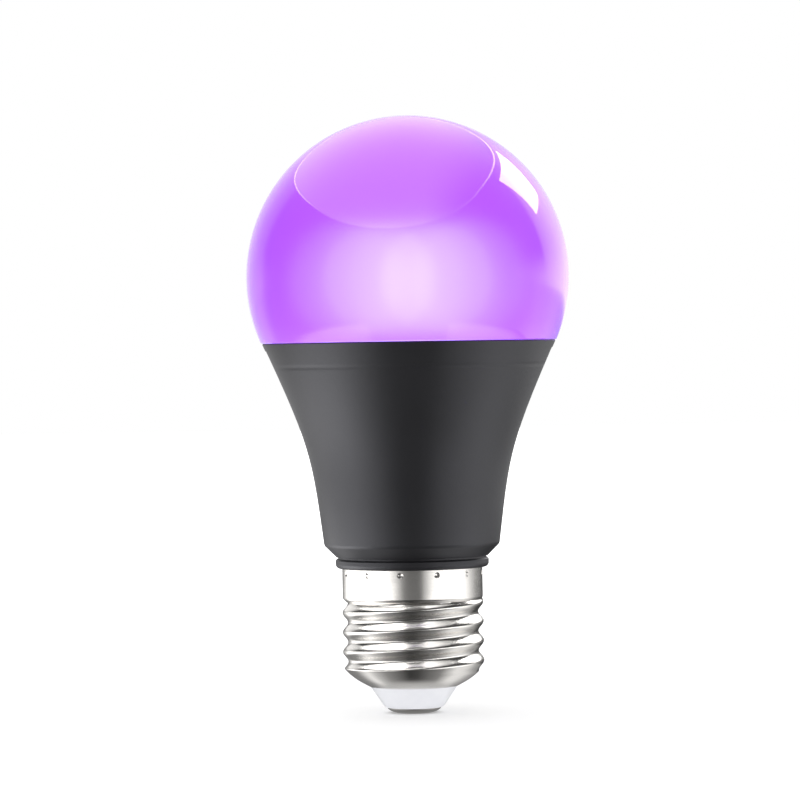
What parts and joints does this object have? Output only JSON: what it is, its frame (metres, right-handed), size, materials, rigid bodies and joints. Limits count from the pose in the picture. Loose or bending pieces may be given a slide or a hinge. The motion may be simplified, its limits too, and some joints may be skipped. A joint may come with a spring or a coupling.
{
  "type": "coloured led bulb",
  "caption": "Globe-headed LED lamp with a violet frosted dome, flared black housing, rolled Edison screw cap, insulating cone and centre contact.",
  "frame": {"origin": "centre of the flat face of the centre contact, at the very end of the cap", "axes": "+Z along the bulb's axis, from the contact to the top of the dome; +X and +Y across it"},
  "size_m": [0.06, 0.06, 0.1109],
  "materials": {
    "violet_diffuser": "frosted, lit from inside",
    "black_housing": "satin, fine moulded texture",
    "plated_shell": "bright nickel plate",
    "white_insulator": "smooth white moulding",
    "contact_metal": "dull tinned metal"
  },
  "bodies": {
    "root": {"diffuser": "violet_diffuser", "housing": "black_housing", "screw_shell": "plated_shell", "insulator": "white_insulator", "centre_contact": "contact_metal"}
  },
  "joints": []
}
